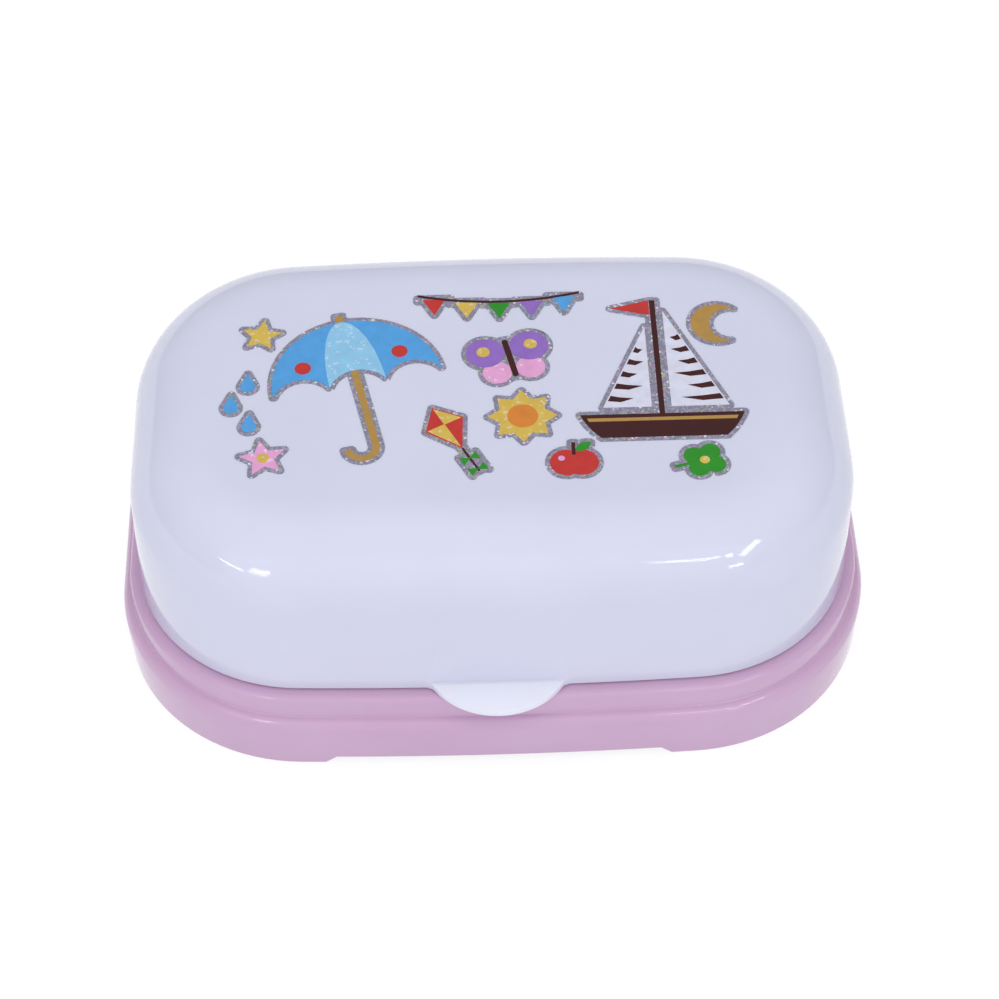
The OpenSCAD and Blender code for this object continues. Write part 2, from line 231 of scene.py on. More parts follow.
def round_bar(sides, r, length, middle, turn=(0, 0, 0)):
    """A round bar about its middle, upright unless it is turned"""
    bpy.ops.mesh.primitive_cylinder_add(vertices=sides, radius=r * mm, depth=length * mm,
                                        location=Vector(middle) * mm, rotation=turn)
    piece = bpy.context.object
    bpy.ops.object.transform_apply()
    return piece


def soften(piece, width, angle=50):
    """Moulded edges: those sharper than the angle get a small radius"""
    with_modifier(piece, "BEVEL", width=width * mm, segments=3,
                  limit_method="ANGLE", angle_limit=radians(angle))


def combine(piece, tool, operation="UNION"):
    """The tool piece becomes part of piece, or cuts it"""
    with_modifier(piece, "BOOLEAN", object=tool, operation=operation, solver="EXACT")
    bpy.data.objects.remove(tool)


ear_side = [(ear_back, ear_foot), (ear_back, ear_heel - ear_cut),
            (ear_back - ear_cut, ear_heel), (0, ear_heel),
            *arc((0, 0), ear_front, 90, 180, 12),
            (-ear_front, ear_throat), (-ear_front + ear_cut, ear_foot)]
for side in (-1, 1):
    middle = side * (ear_x + ear_t / 2)
    ear = prism("ear", ear_side, middle - ear_t / 2, middle + ear_t / 2,
                lambda u, v, w: (w, axis_y + u, axis_z + v))
    soften(ear, ear_edge)
    hole = round_bar(40, pin_hole_r, 2 * ear_t, (middle, axis_y, axis_z), crosswise)
    combine(ear, hole, "DIFFERENCE")
    combine(base, ear)


# Snap bead and finish of the base: a low ridge moulded along the front of the inner rim, which
# clicks past its fellow inside the lid. The plastic is glossy, a little cloudy and finely rubbed.
bead_l = 26
bead_out = 0.3
bead_h = 0.6
bead_root = 0.6
bead_crest = 0.1
base_bead_z = 19.65


def snap_bead(inset, z, out):
    """The ridge on the front wall, with its crest outwards where out is 1 and inwards at -1"""
    y = inset - half_w
    root, crest = out * bead_root, -out * bead_out
    side = [(root, -bead_h), (0, -bead_h), (crest, -bead_crest),
            (crest, bead_crest), (0, bead_h), (root, bead_h)]
    return prism("bead", side, -bead_l / 2, bead_l / 2, lambda u, v, w: (w, y + u, z + v))


def smooth(piece, angle=32):
    """Smooth shading, with edges over the angle left sharp"""
    bpy.ops.object.select_all(action="DESELECT")
    piece.select_set(True)
    bpy.context.view_layer.objects.active = piece
    bpy.ops.object.shade_smooth_by_angle(angle=radians(angle))


combine(base, snap_bead(upstand_in, base_bead_z, 1))
smooth(base)


def as_seen(red, green, blue):
    """A colour as the eye reads it, 0 to 255, in the scene's own linear values"""
    parts = [c / 255 for c in (red, green, blue)]
    return (*[c / 12.92 if c <= 0.04045 else ((c + 0.055) / 1.055) ** 2.4 for c in parts], 1)


def nodes_of(owner):
    """Empties the node tree of a material or a world, and gives a function that adds nodes to it"""
    owner.use_nodes = True
    tree = owner.node_tree
    tree.nodes.clear()

    def add(kind, values=None, **settings):
        node = tree.nodes.new("ShaderNode" + kind)
        for key, value in settings.items():
            setattr(node, key, value)
        for socket, value in (values or {}).items():
            if isinstance(value, bpy.types.NodeSocket):
                tree.links.new(value, node.inputs[socket])
            else:
                node.inputs[socket].default_value = value
        return node

    return add


def new_material(name):
    """A new material, and the function that adds nodes to it"""
    material = bpy.data.materials.new(name)
    return material, nodes_of(material)


def blended(add, value, low, high):
    """A ramp between two colours, each given with its place on the ramp"""
    ramp = add("ValToRGB", {"Fac": value})
    for stop, (at, colour) in zip(ramp.color_ramp.elements, (low, high)):
        stop.position, stop.color = at, colour
    return ramp.outputs["Color"]


grain_h = 0.0012
scratch_h = 0.0015
# Painted light on the lid's tab: the paler colour painted in front of the wall, and the lead over
# which it blends in.
painted_tab_light = as_seen(241, 243, 252)
painted_light_lead = 0.4


def moulded_plastic(name, colour, deep, gloss, sink, glow, painted_light_from=None):
    """Glossy moulded polypropylene: cloudy colour, wavy skin, fine grain and rubbed scratches.
    deep is the colour in its denser clouds, gloss its roughness, sink the height of the waves
    in mm. The last argument is the y where a flange of little thickness starts; in front of it
    a paler colour is painted on as painted light, as if light came through."""
    material, add = new_material(name)
    place = add("TexCoord").outputs["Object"]

    def noise(scale, detail, roughness=0.5, at=place):
        return add("TexNoise", {"Vector": at, "Scale": scale, "Detail": detail,
                                "Roughness": roughness}).outputs["Fac"]

    shade = blended(add, noise(38, 3, 0.55), (0.3, deep), (0.7, colour))
    # In front of the given y the colour blends to the paler one: painted light, not the plastic's
    # own colour.
    if painted_light_from is not None:
        across = add("SeparateXYZ", {"Vector": place}).outputs["Y"]
        painted_light_mask = add("MapRange", {"Value": across, "From Min": painted_light_from * mm,
                                  "From Max": (painted_light_from - painted_light_lead) * mm}).outputs["Result"]
        shade = add("Mix", {"Factor": painted_light_mask, "A": shade, "B": painted_tab_light},
                    data_type="RGBA").outputs["Result"]
    rough = add("MapRange", {"Value": noise(95, 4, 0.6), "From Min": 0.3, "From Max": 0.75,
                             "To Min": gloss - 0.02, "To Max": gloss + 0.05})
    wave = add("Bump", {"Height": noise(70, 1.5, 0.4), "Distance": sink * mm, "Strength": 1})
    peel = add("Bump", {"Height": noise(420, 2), "Distance": 0.2 * sink * mm, "Strength": 1,
                        "Normal": wave.outputs["Normal"]})
    grain = add("Bump", {"Height": noise(2600, 2), "Distance": grain_h * mm, "Strength": 1,
                         "Normal": peel.outputs["Normal"]})
    drawn = add("Mapping", {"Vector": place, "Rotation": (0.2, 0.1, 0.6),
                            "Scale": (90, 2400, 900)}).outputs["Vector"]
    scratch = add("MapRange", {"Value": noise(1, 3, 0.7, drawn), "From Min": 0.66,
                               "From Max": 0.74}).outputs["Result"]
    rubbed = add("Bump", {"Height": scratch, "Distance": scratch_h * mm, "Strength": 0.6,
                          "Normal": grain.outputs["Normal"]}, invert=True)
    shader = add("BsdfPrincipled", {
        "Base Color": shade, "Roughness": rough.outputs["Result"],
        "Normal": rubbed.outputs["Normal"], "IOR": 1.49, "Subsurface Weight": glow,
        "Subsurface Radius": (1, 0.8, 0.9), "Subsurface Scale": 1.5 * mm})
    add("OutputMaterial", {"Surface": shader.outputs["BSDF"]})
    return material


def dress(piece, material, slot, body, *nodes):
    """Material, the CAD nodes that the piece stands for, and the body that carries it. The slot is
    not used.
    """
    piece.data.materials.clear()
    piece.data.materials.append(material)
    if nodes:
        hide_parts(*nodes)
    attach(piece, body)


pink = moulded_plastic("pink_plastic", as_seen(212, 177, 206), as_seen(208, 171, 202),
                       gloss=0.045, sink=0.03, glow=0.05)
dress(base, pink, "base_plastic", "base", "base_shell")


# Drain tray: a white moulded insert that lifts out. Its plate has two rows of slots and a row of
# ribs that keep the soap off it, and it stands on four legs, with a lift tab at each end.
tray_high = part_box("drain_tray")[1] / mm
tray_in = half_l - tray_high.x
tray_z = 8.6
tray_top = 10.1
tray_rim_top = 13.7
tray_wall = 1.4
tray_fillet = 1.2
shade_ring = 1.0
tray = carried_round("tray_moulding", [
    (plate_in, tray_z), (tray_in + edge_r, tray_z),
    *arc((tray_in + edge_r, tray_z + edge_r), edge_r, 260, 180, 4),
    *arc((tray_in + edge_r, tray_rim_top - edge_r), edge_r, 180, 90, 4),
    *arc((tray_in + tray_wall - edge_r, tray_rim_top - edge_r), edge_r, 80, 0, 4),
    *arc((tray_in + tray_wall + tray_fillet, tray_top + tray_fillet), tray_fillet, 180, 270, 6),
    (tray_in + tray_wall + tray_fillet + shade_ring, tray_top), (plate_in, tray_top),
])

slot_w = 3
slot_l = 19
slot_pitch = 8
slot_count = 11
spine_w = 6
slot_end = (slot_l - slot_w) / 2
slot_y = (spine_w + slot_l) / 2
slot_x = -(slot_count - 1) / 2 * slot_pitch
cut_past = 1


def in_a_row(piece, count):
    """A piece and its copies in a row to the right, a slot's pitch apart"""
    with_modifier(piece, "ARRAY", count=count, use_relative_offset=False,
                  use_constant_offset=True, constant_offset_displace=(slot_pitch * mm, 0, 0))


slot_outline = [*arc((0, slot_end), slot_w / 2, 0, 180, 12),
                *arc((0, -slot_end), slot_w / 2, 180, 360, 12)]
slots = prism("slots", slot_outline, tray_z - cut_past, tray_top + cut_past,
              lambda u, v, w: (slot_x + u, slot_y + v, w))
in_a_row(slots, slot_count)
with_modifier(slots, "MIRROR", use_axis=(False, True, False))
combine(tray, slots, "DIFFERENCE")

rib_h = 1.6
rib_half = 0.8
rib_r = 0.5
rib_edge = 0.3
rib_l = 2 * slot_l + spine_w
sunk = 0.4
rib_outline = [(-rib_half, -sunk), (-rib_half, rib_h - rib_r),
               *arc((-rib_half + rib_r, rib_h - rib_r), rib_r, 160, 90, 3),
               *arc((rib_half - rib_r, rib_h - rib_r), rib_r, 90, 20, 3),
               (rib_half, rib_h - rib_r), (rib_half, -sunk)]
ribs = prism("ribs", rib_outline, -rib_l / 2, rib_l / 2,
             lambda u, v, w: (slot_x + slot_pitch / 2 + u, w, tray_top + v))
soften(ribs, rib_edge, 60)
in_a_row(ribs, slot_count - 1)
combine(tray, ribs)

leg_r = 2.4
leg_edge = 0.35
leg_x = -slot_x - slot_pitch / 2
legs = round_bar(32, leg_r, tray_z - floor_top + sunk,
                 (leg_x, slot_y, (tray_z + floor_top + sunk) / 2))
soften(legs, leg_edge, 60)
with_modifier(legs, "MIRROR", use_axis=(True, True, False))
combine(tray, legs)

lift_half = 6.5
lift_top = tray_high.z
lift_r = 1.5
lift_edge = 0.3
lift_outline = [(-lift_half, tray_top - sunk),
                *arc((-lift_half + lift_r, lift_top - lift_r), lift_r, 180, 90, 5),
                *arc((lift_half - lift_r, lift_top - lift_r), lift_r, 90, 0, 5),
                (lift_half, tray_top - sunk)]
lifts = prism("lift_tabs", lift_outline, half_l - tray_in - tray_wall, half_l - tray_in,
              lambda u, v, w: (w, u, v))
soften(lifts, lift_edge, 60)
with_modifier(lifts, "MIRROR", use_axis=(True, False, False))
combine(tray, lifts)
smooth(tray)

white_satin = moulded_plastic("tray_plastic", as_seen(236, 236, 240), as_seen(231, 231, 237),
                              gloss=0.36, sink=0.02, glow=0.1)
dress(tray, white_satin, "tray_plastic", "tray", "drain_tray")


# Lid: one white moulding, a wall with a degree of draft that rolls over into a flat top.
# The thumb tab, the hinge barrel with its two stub pins and the inner snap bead are part of it.
lid_low, lid_high = (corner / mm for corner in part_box("lid_shell"))
lid_inset = half_l - lid_high.x
lid_rim_z = lid_low.z
lid_top = lid_high.z
lid_wall = 1.8
lid_inner_r = 0.2
draft_a = radians(1)
roll_r = 13
roll_z = lid_top - roll_r
roll_in = lid_inset + (roll_z - lid_rim_z) * tan(draft_a) + roll_r
lid = carried_round("lid_moulding", [
    (plate_in, lid_top), (roll_in + shade_ring, lid_top),
    *arc((roll_in, roll_z), roll_r, 90, 180, 22),
    *arc((lid_inset + edge_r, lid_rim_z + edge_r), edge_r, 180, 270, 5),
    *arc((lid_inset + lid_wall - lid_inner_r, lid_rim_z + lid_inner_r), lid_inner_r, 270, 360, 3),
    *arc((roll_in, roll_z), roll_r - lid_wall, 180, 90, 16),
    (roll_in + shade_ring, lid_top - lid_wall), (plate_in, lid_top - lid_wall),
])

# The thumb tab is a blank of its rounded plan, cut to its side view: thin at the tip, and with a
# small fillet where it meets the wall.
wall_y = -(half_w - lid_inset)
tab_out = wall_y - lid_low.y
tab_l = 21.5
tab_blank_h = 5
tab_root_t = 1.4
tab_tip_t = 1.0
tab_flare = 1.2
tab_sunk = 0.03
tab_edge = 0.06
tab_r = ((tab_l / 2) ** 2 + tab_out ** 2) / (2 * tab_out)
tab_back = tab_r - tab_out
flare_x = sqrt((tab_r + tab_flare) ** 2 - (tab_back + tab_flare) ** 2)
flare_a = degrees(atan2(tab_back + tab_flare, -flare_x))
tab_plan = [(flare_x, lid_wall / 2),
            *arc((flare_x, -tab_flare), tab_flare, 90, flare_a, 4),
            *arc((0, tab_back), tab_r, flare_a - 180, -flare_a, 40)[1:],
            *arc((-flare_x, -tab_flare), tab_flare, 180 - flare_a, 90, 4)[1:],
            (-flare_x, lid_wall / 2)]
tab = prism("tab", tab_plan, lid_rim_z, lid_rim_z + tab_blank_h,
            lambda u, v, w: (u, wall_y + v + u * u / (2 * bow_r) + tab_sunk, w))
fillet_r = 0.3
slope = (tab_root_t - tab_tip_t) / (tab_out + lid_wall / 2)
tab_top = lid_rim_z + tab_root_t
tab_side = [(lid_wall / 2, lid_rim_z - cut_past), (-tab_out - cut_past, lid_rim_z - cut_past),
            (-tab_out - cut_past, lid_rim_z + tab_tip_t), (-tab_out, lid_rim_z + tab_tip_t),
            (-fillet_r, tab_top - slope * fillet_r),
            *arc((-fillet_r, tab_top + fillet_r), fillet_r, -60, 0, 2),
            (lid_wall / 2, tab_top + fillet_r)]
tab_cut = prism("tab_side", tab_side, -tab_l, tab_l, lambda u, v, w: (w, wall_y + u, v))
combine(tab, tab_cut, "INTERSECT")
soften(tab, tab_edge)
combine(lid, tab)

# The hinge barrel runs between the ears on a web from the back wall, with a stub pin in each ear.
barrel_l = 36
barrel_r = 2.1
barrel_edge = 0.2
pin_r = 1.2
axis_out = axis_y + wall_y
gusset_h = 2
web_short = 0.05
web_low = web_short - barrel_r
web_l = barrel_l - 2 * web_short
web_side = [(-axis_out - lid_wall / 2, web_low), (0, web_low), (0, barrel_r),
            (-axis_out, barrel_r + gusset_h), (-axis_out - lid_wall / 2, barrel_r + gusset_h)]
web = prism("web", web_side, -web_l / 2, web_l / 2, lambda u, v, w: (w, axis_y + u, axis_z + v))
soften(web, barrel_edge)
combine(lid, web)
for radius, length in ((barrel_r, barrel_l), (pin_r, 2 * (ear_x + ear_t))):
    bar = round_bar(64, radius, length, (0, axis_y, axis_z), crosswise)
    soften(bar, barrel_edge)
    combine(lid, bar)
lid_bead_z = 17.45
combine(lid, snap_bead(lid_inset + lid_wall, lid_bead_z, -1))
smooth(lid)

# The lid's tab, in front of the wall, is painted paler as painted light.
milk_white = moulded_plastic("white_plastic", as_seen(222, 224, 240), as_seen(218, 220, 237),
                             gloss=0.05, sink=0.03, glow=0.15, painted_light_from=wall_y)
dress(lid, milk_white, "lid_plastic", "lid", "lid_shell")


# Prints: each motif is a hot-stamped transfer, coloured inks on a silver glitter foil that shows
# as a border round them. The foil is the film's own outline, pressed thinner to take the inks.
# Each motif is drawn about its own middle, and the inks lie in up to three layers.
foil_t = 0.09
ink_low = 0.05
ink_tops = (0.115, 0.13, 0.145)

glitter, add = new_material("glitter_foil")
place = add("TexCoord").outputs["Object"]
flake = add("TexVoronoi", {"Vector": place, "Scale": 3000, "Randomness": 1}, feature="F1")
pick = add("SeparateColor", {"Color": flake.outputs["Color"]})
flash = add("ValToRGB", {"Fac": pick.outputs["Red"]})
flash.color_ramp.interpolation = "CONSTANT"
silver = as_seen(148, 148, 164)
# The glints are flake colours beside the plain silver: painted glints and coloured flashes, on top
# of the foil's own metal reflection.
glints = ((0.45, as_seen(164, 162, 180)), (0.72, as_seen(182, 178, 196)),
          (0.86, as_seen(206, 160, 206)), (0.9, as_seen(196, 202, 150)),
          (0.93, as_seen(164, 196, 214)), (0.965, as_seen(244, 242, 250)))
for at, tone in glints:
    flash.color_ramp.elements.new(at).color = tone
flash.color_ramp.elements[0].color = silver
flash.color_ramp.elements.remove(flash.color_ramp.elements[-1])
tip = add("MapRange", {"Value": pick.outputs["Green"], "To Min": 0.2, "To Max": 0.45})
facet = add("Bump", {"Height": pick.outputs["Blue"], "Distance": 0.02 * mm, "Strength": 0.5})
shader = add("BsdfPrincipled", {
    "Base Color": flash.outputs["Color"], "Roughness": tip.outputs["Result"],
    "Normal": facet.outputs["Normal"], "Metallic": 0.35})
add("OutputMaterial", {"Surface": shader.outputs["BSDF"]})


def ink_finish(name, colour, sparkle=0.0):
    """Glossy ink with an uneven lay, with near-white specks painted in at some of the foil's flakes
    as painted glints, as if they glinted through it
    """
    material, add = new_material(name)
    place = add("TexCoord").outputs["Object"]
    lay = add("TexNoise", {"Vector": place, "Scale": 420, "Detail": 3, "Roughness": 0.6})
    thick = (*[c * 0.9 for c in colour[:3]], 1)
    tone = blended(add, lay.outputs["Fac"], (0.35, thick), (0.65, colour))
    flakes = add("TexVoronoi", {"Vector": place, "Scale": 2300, "Randomness": 1}, feature="F1")
    pick = add("SeparateColor", {"Color": flakes.outputs["Color"]})
    glint = add("MapRange", {"Value": pick.outputs["Red"], "From Min": 0.9, "From Max": 0.91,
                             "To Max": sparkle}).outputs["Result"]
    mixed = add("Mix", {"Factor": glint, "A": tone, "B": (0.92, 0.9, 0.95, 1)}, data_type="RGBA")
    rough = add("MapRange", {"Value": lay.outputs["Fac"], "To Min": 0.16, "To Max": 0.32})
    lift = add("Bump", {"Height": lay.outputs["Fac"], "Distance": 0.004 * mm, "Strength": 0.6})
    shader = add("BsdfPrincipled", {
        "Base Color": mixed.outputs["Result"], "Roughness": rough.outputs["Result"],
        "Normal": lift.outputs["Normal"]})
    add("OutputMaterial", {"Surface": shader.outputs["BSDF"]})
    return material


def foil(motif):
    """The silver foil of one print, from its film, which is then no longer shown"""
    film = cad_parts["print_" + motif]
    piece = bpy.data.objects.new(motif + "_foil", film.data.copy())
    bpy.context.scene.collection.objects.link(piece)
    bpy.ops.object.select_all(action="DESELECT")
    bpy.context.view_layer.objects.active = piece
    piece.select_set(True)
    bpy.ops.object.mode_set(mode="EDIT")
    bpy.ops.mesh.select_all(action="SELECT")
    bpy.ops.mesh.remove_doubles(threshold=merge_gap)
    bpy.ops.mesh.dissolve_limited(angle_limit=radians(1))
    thinner = foil_t / (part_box(film.name)[1].z / mm - lid_top)
    bpy.ops.transform.resize(value=(1, 1, thinner), center_override=(0, 0, lid_top * mm))
    bpy.ops.object.mode_set(mode="OBJECT")
    dress(piece, glitter, film.name + "_film", "lid", film.name)


def laid(at, turn=0):
    """Where a point of a motif lies on the lid, from the motif's own middle and turn"""
    c, s = cos(radians(turn)), sin(radians(turn))
    return lambda u, v, w: (at[0] + c * u - s * v, at[1] + s * u + c * v, lid_top + w)


def ink(motif, part, material, layer, put, *outlines):
    """One ink of a print: outlines that may overlap, raised as one thin area on the foil"""
    areas = [prism(motif + "_" + part, outline, ink_low, ink_tops[layer], put)
             for outline in outlines]
    for area in areas[1:]:
        combine(areas[0], area)
    dress(areas[0], material, "print_" + motif + "_film", "lid")
    return areas[0]


# Umbrella: a blue canopy with a paler middle gore and two red spots, on a tan shaft and crook.
# The shaft is stamped first, then the canopy over it, and the gore and spots over the canopy.
blue = ink_finish("blue_ink", as_seen(87, 168, 230))
pale_blue = ink_finish("pale_blue_ink", as_seen(150, 208, 240), 0.3)
red = ink_finish("red_ink", as_seen(204, 55, 48))
tan_brown = ink_finish("tan_ink", as_seen(186, 146, 74))
shaft_half = 0.6
ferrule_y = 15.5
crook_r = 2.3
crook_y = -14
canopy_r = 14
scallop = canopy_r / 3
scallop_bow = 1.1
scallop_low = 0.5
cusp = degrees(atan2(scallop_low, sqrt(scallop_bow ** 2 - scallop_low ** 2)))


def scallop_at(x):
    """One scallop of the canopy's lower edge, as an arc from cusp to cusp"""
    return arc((x, -scallop_low * scallop), scallop_bow * scallop, 180 - cusp, cusp, 12)


def spot(x, y, r, steps=28):
    """A round spot"""
    return arc((x, y), r, 0, 360, steps)[:-1]


foil("umbrella")
put = laid((-21.5, 1.5), 12)
shaft = [(shaft_half, ferrule_y), (-shaft_half, ferrule_y),
         *arc((-crook_r, crook_y), crook_r - shaft_half, 0, -180, 14),
         *arc((-crook_r, crook_y), crook_r + shaft_half, -180, 0, 16)]
canopy = [*arc((0, 0), canopy_r, 0, 180, 44),
          *scallop_at(-2 * scallop), *scallop_at(0), *scallop_at(2 * scallop)]
gore_turns = [radians(a) for a in range(0, 181, 6)]
gore = [(scallop * cos(a), canopy_r * sin(a)) for a in gore_turns] + scallop_at(0)
ink("umbrella", "shaft", tan_brown, 0, put, shaft)
ink("umbrella", "canopy", blue, 1, put, canopy)
ink("umbrella", "gore", pale_blue, 2, put, gore)
ink("umbrella", "spots", red, 2, put, spot(-8.1, 5.2, 1.35), spot(8.1, 5.2, 1.35))


# Sailboat: white sails with dark tapering stripes, a brown hull with a tan strake, a red pennant.
# The hull, its mast and the sails are stamped first, and the strake, stripes and pennant on them.
brown = ink_finish("brown_ink", as_seen(66, 22, 20))
chalk = ink_finish("chalk_ink", as_seen(226, 228, 243))
hull_middle = (0, -4.5)
hull_r = 14.2
deck_a, keel_a = (degrees(atan2(-drop, sqrt(hull_r ** 2 - drop ** 2))) for drop in (5, 10))
mast_half = 0.45
mast_top = 16
sail_in = 1.6
sail_foot = -8
main_clew, main_peak = 11, 13.5
jib_clew, jib_peak = 9.5, 10
stripe_in = 0.25


def box_of(x0, x1, y0, y1):
    """A box between two x and two y"""
    return [(x0, y0), (x1, y0), (x1, y1), (x0, y1)]


def stripe(side, clew, peak, y, reach):
    """A stripe that starts wide at the sail's slanting edge and ends in a point near the mast"""
    edge = sail_in + (clew - sail_in) * (peak - y) / (peak - sail_foot) - stripe_in
    tip = edge - reach * (edge - sail_in)
    middle = (edge + tip) / 2
    line = [(edge, y), (middle, y - 0.3), (tip, y + 0.5), (middle, y + 0.75),
            (edge - 0.5, y + 1.15)]
    return [(side * u, v) for u, v in line]


main_stripes = ((-6.6, 0.8), (-3.9, 0.6), (-1.2, 0.85), (1.5, 0.65), (4.2, 0.8), (6.9, 0.7))
jib_stripes = ((-6.6, 0.6), (-3.9, 0.8), (-1.2, 0.6), (1.5, 0.8), (4.2, 0.7))
foil("sailboat")
put = laid((27.5, 2.5))
ink("sailboat", "hull", brown, 0, put,
    arc(hull_middle, hull_r, deck_a, keel_a, 8)
    + arc(hull_middle, hull_r, 180 - keel_a, 180 - deck_a, 8),
    box_of(-mast_half, mast_half, -10, mast_top))
ink("sailboat", "strake", tan_brown, 1, put,
    [(-11.9, -11), (-12.2, -10.3), (12.2, -10.3), (11.9, -11)])
ink("sailboat", "sails", chalk, 0, put,
    [(sail_in, sail_foot), (sail_in, main_peak), (main_clew, sail_foot)],
    [(-sail_in, sail_foot), (-sail_in, jib_peak), (-jib_clew, sail_foot)])
ink("sailboat", "stripes", brown, 1, put,
    *[stripe(1, main_clew, main_peak, y, reach) for y, reach in main_stripes],
    *[stripe(-1, jib_clew, jib_peak, y, reach) for y, reach in jib_stripes])
ink("sailboat", "pennant", red, 1, put, [(-0.6, mast_top), (-7, 14.3), (-0.6, 12.6)])


# Sun and moon: a yellow sun with eight rays and an orange middle, and a tan crescent, each on a
# foil of its own. The crescent is a disc from which a smaller one is cut.
yellow = ink_finish("yellow_ink", as_seen(222, 190, 84), 0.3)
orange = ink_finish("orange_ink", as_seen(226, 138, 52))


def star(points, r, inner_r):
    """A star with a point at the top"""
    turns = [(radians(90 + 180 * i / points), inner_r if i % 2 else r)
             for i in range(2 * points)]
    return [(reach * cos(a), reach * sin(a)) for a, reach in turns]


foil("sun")
put = laid((5, -6.8))
ink("sun", "rays", yellow, 0, put, star(8, 5.6, 3.9))
ink("sun", "disc", orange, 1, put, spot(0, 0, 2.5))

foil("moon")
put = laid((38, 12.8), -20)
moon = ink("moon", "crescent", tan_brown, 0, put, spot(0, 0, 4.4, 40))
combine(moon, prism("moon_cut", spot(2.2, 0.5, 3.6, 36), 0, 1, put), "DIFFERENCE")


# Butterfly: purple upper wings with yellow spots, rose lower wings and a dark body.
# The lower wings are stamped first, the upper ones over them, and the body and spots last.
purple = ink_finish("purple_ink", as_seen(152, 112, 198))
rose = ink_finish("rose_ink", as_seen(238, 172, 216), 0.5)
foil("butterfly")
put = laid((3.5, 5.8), 12)
ink("butterfly", "lower", rose, 0, put, spot(-2.8, -2.4, 2.4), spot(2.8, -2.4, 2.4))
ink("butterfly", "upper", purple, 1, put, spot(-3.7, 2.3, 3.2), spot(3.7, 2.3, 3.2))
ink("butterfly", "body", brown, 2, put,
    arc((0, 4), 0.5, 0, 180, 8) + arc((0, -3.4), 0.5, 180, 360, 8))
ink("butterfly", "spots", yellow, 2, put, spot(-4, 2.6, 1.1, 18), spot(4, 2.6, 1.1, 18))


# Bunting: five pennants in five inks on a sagging brown string, all on one long foil.
# The pennants are stamped first, and the string over their upper edges.
green = ink_finish("green_ink", as_seen(45, 150, 36))
foil("bunting")
bunting_x, bunting_y = 2, 19.4
pennant = [(-1.9, 0.4), (1.9, 0.4), (0, -3.2)]
pennant_step = 5.4
pennant_hang = 1
sag = 0.28
string_low, string_w = -0.55, 0.5
for i, cloth in enumerate((red, yellow, green, purple, blue)):
    across = i - 2
    at = (bunting_x + pennant_step * across, bunting_y + sag * across ** 2 - pennant_hang)
    ink("bunting", f"flag_{i + 1}", cloth, 0, laid(at), pennant)
string = [(pennant_step * t / 4, sag * (t / 4) ** 2 + string_low) for t in range(-10, 11)]
ink("bunting", "string", brown, 1, laid((bunting_x, bunting_y)),
    string + [(x, y + string_w) for x, y in reversed(string)])


# Kite: a quartered red and yellow diamond with two green bows on its brown tail.
# The diamond is stamped in red, and two of its quarters over again in yellow.
foil("kite")
put = laid((-7.2, -9), 28)
ink("kite", "red", red, 0, put, [(0, 5), (3.4, 0.9), (0, -5), (-3.4, 0.9)])
ink("kite", "yellow", yellow, 1, put,
    [(0, 4.7), (3.1, 0.9), (-0.05, 0.85)], [(0, -4.6), (-3.1, 0.9), (0.05, 0.95)])
ink("kite", "tail", brown, 0, put, box_of(-0.2, 0.2, -10.5, -5))
ink("kite", "bows", green, 1, put,
    *[[(-side * 0.1, y), (side * 1.5, y - 0.9), (side * 1.5, y + 0.9)]
      for y in (-7.4, -10) for side in (-1, 1)])


# Apple and clover: a red apple with a green leaf and a rose shine, and a green clover with a
# yellow heart. Each is on a foil of its own, and the clover's leaves and stem are one ink.
foil("apple")
put = laid((12.8, -17))
ink("apple", "stem", brown, 1, put, box_of(-0.3, 0.3, 1.6, 4.2))
ink("apple", "fruit", red, 0, put, spot(-1.2, 0, 2.7), spot(1.2, 0, 2.7))
ink("apple", "leaf", green, 1, put,
    arc((2.2, 2.4), 1.9, 71.6, 180, 10) + arc((0.9, 4.2), 1.9, 251.6, 360, 10))
ink("apple", "shine", rose, 1, put, spot(-2, 0.9, 0.55, 14))

foil("clover")
put = laid((33.5, -17.2), -75)
leaf_out, leaf_r = 1.9, 1.7
leaves = [spot(leaf_out * cos(radians(a)), leaf_out * sin(radians(a)), leaf_r, 22)
          for a in range(45, 360, 90)]
ink("clover", "leaves", green, 0, put, *leaves, box_of(-0.3, 0.3, -5, -1))
ink("clover", "heart", yellow, 1, put, spot(0, 0, 0.8, 14))


# Stars and rain drops: small fill-in motifs at the left of the lid, two stars and three drops.
# The drops are three areas of one film, and each star is on a foil of its own.
foil("star_pink")
put = laid((-36.6, -14.4), 10)
ink("star_pink", "star", rose, 0, put, star(5, 3.8, 1.8))
ink("star_pink", "heart", yellow, 1, put, spot(0, 0, 1, 16))

foil("star_yellow")
ink("star_yellow", "star", yellow, 0, laid((-37.4, 12.6), -8), star(5, 3.4, 1.6))

foil("drops")
drop_r = 1.2
drop = [(0, 2.4 * drop_r), *arc((0, 0), drop_r, 162.5, 377.5, 22)]
ink("drops", "three", blue, 0, laid((-40.4, -4)),
    *[[(x + u, y + v) for u, v in drop] for x, y in ((1, 5.2), (-1.6, 0.6), (1.4, -3.6))])


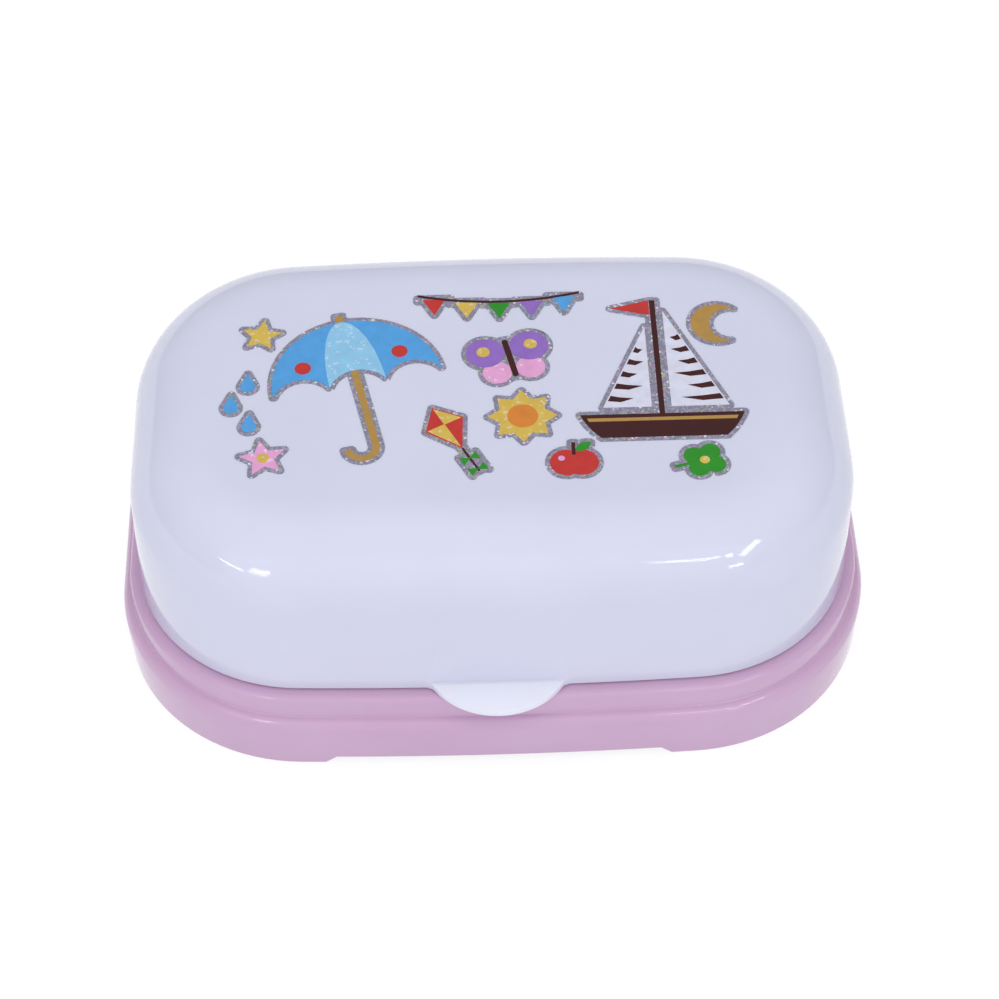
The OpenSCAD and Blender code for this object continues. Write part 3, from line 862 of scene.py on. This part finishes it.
# Stage: a pale floor under a plain white room, which the camera sees as white.
# The floor keeps the box's shadow and gives its light back to the walls.
floor_size = 6
floor_glow = 1.16
glow_share = 0.72
floor_material, add = new_material("floor")
seen = add("LightPath")
straight = add("Math", {0: seen.outputs["Is Camera Ray"], 1: seen.outputs["Is Glossy Ray"]},
               operation="ADD")
straight = add("Math", {0: straight.outputs["Value"],
                        1: seen.outputs["Is Transmission Ray"]}, operation="ADD")
pale = add("BsdfDiffuse", {"Color": as_seen(238, 238, 242)}).outputs["BSDF"]
white = add("Emission", {"Color": (1, 1, 1, 1), "Strength": floor_glow}).outputs["Emission"]
lit = add("MixShader", {"Fac": glow_share, 1: pale, 2: white}).outputs["Shader"]
ground = add("MixShader", {"Fac": straight.outputs["Value"], 1: pale, 2: lit})
add("OutputMaterial", {"Surface": ground.outputs["Shader"]})
bpy.ops.object.select_all(action="DESELECT")
bpy.ops.mesh.primitive_plane_add(size=floor_size, location=(0, 0, 0))
floor = bpy.context.object
floor.name = "floor"
floor.data.materials.append(floor_material)


# Light: the room is brighter overhead and at the front, a softbox and an overhead lamp light the
# box, and seven small lamps only draw the highlights on the front roll.
world = bpy.data.worlds.new("room")
bpy.context.scene.world = world
add = nodes_of(world)
way = add("TexCoord").outputs["Generated"]
front_and_up = (0, -0.7, 0.714)
towards = add("VectorMath", {0: way, 1: front_and_up}, operation="DOT_PRODUCT").outputs["Value"]
strength = add("MapRange", {"Value": towards, "To Min": 0.36, "To Max": 0.8}).outputs["Result"]
room = add("Background", {"Color": as_seen(246, 246, 255), "Strength": strength})
backdrop = add("Background", {"Color": (1, 1, 1, 1), "Strength": 1})
either = add("MixShader", {"Fac": add("LightPath").outputs["Is Camera Ray"],
                           1: room.outputs["Background"], 2: backdrop.outputs["Background"]})
add("OutputWorld", {"Surface": either.outputs["Shader"]})
lamp_aim = Vector((0, 0, 35)) * mm


def lamp(name, side, height, away, width, length, watts, turn=0, lights=True, shines=True):
    """A soft rectangular lamp that faces the box, at so many degrees to the right and up from it.
    It is away, wide and long in metres. One that only lights makes no highlight, and one that
    only shines is nothing but a highlight."""
    light = bpy.data.lights.new(name, "AREA")
    light.shape = "RECTANGLE"
    light.size, light.size_y, light.energy = width, length, watts
    holder = bpy.data.objects.new(name, light)
    holder.visible_diffuse = lights
    holder.visible_glossy = shines
    bpy.context.scene.collection.objects.link(holder)
    a, e = radians(side), radians(height)
    way = Vector((sin(a) * cos(e), -cos(a) * cos(e), sin(e)))
    facing = way.to_track_quat("Z", "Y").to_matrix().to_4x4()
    middle = Matrix.Translation(lamp_aim + way * away)
    holder.matrix_world = middle @ facing @ Matrix.Rotation(radians(turn), 4, "Z")


lamp("front_softbox", -5, 22, 1.1, 1.9, 0.9, 2.9)
lamp("overhead", 0, 95, 1.3, 2.6, 1.6, 9.8, shines=False)
lamp("left_streak", -45, 17.5, 0.75, 0.22, 0.016, 0.15, -12, lights=False)
lamp("left_bulb", -27, 19, 0.75, 0.14, 0.1, 0.28, -10, lights=False)
lamp("left_spark", -23, 21, 0.75, 0.05, 0.04, 0.05, 0, lights=False)
lamp("right_streak", 16, 26, 0.75, 0.15, 0.04, 0.13, 4, lights=False)
lamp("right_low_streak", 29, 10, 0.75, 0.1, 0.045, 0.12, 0, lights=False)
lamp("right_bulb", 41, 26, 0.75, 0.22, 0.07, 0.36, 38, lights=False)
lamp("right_spark", 27, 25, 0.75, 0.05, 0.05, 0.08, 0, lights=False)


# Camera: a long lens above the front edge, turned a hair, with the box a little right of centre.
# Its place, roll and shift are fitted to the box's outline as the photograph frames it.
aim = Vector((0, 0, 15)) * mm
heading = radians(-1.503)
height = radians(49.78)
roll = radians(0.409)
away = 465.46 * mm
back = Vector((sin(heading) * cos(height), -cos(heading) * cos(height), sin(height)))
level = Vector((cos(heading), sin(heading), 0))
up = back.cross(level)
right = level * cos(roll) - up * sin(roll)
top = level * sin(roll) + up * cos(roll)
facing = Matrix((right, top, back)).transposed().to_4x4()
lens = bpy.data.cameras.new("camera")
camera = bpy.data.objects.new("camera", lens)
bpy.context.scene.collection.objects.link(camera)
camera.matrix_world = Matrix.Translation(aim + back * away) @ facing
lens.sensor_width = 36
lens.lens = 97.76
lens.shift_x = 0.0083
lens.shift_y = 0.0159
lens.clip_start = 0.01
bpy.context.scene.camera = camera
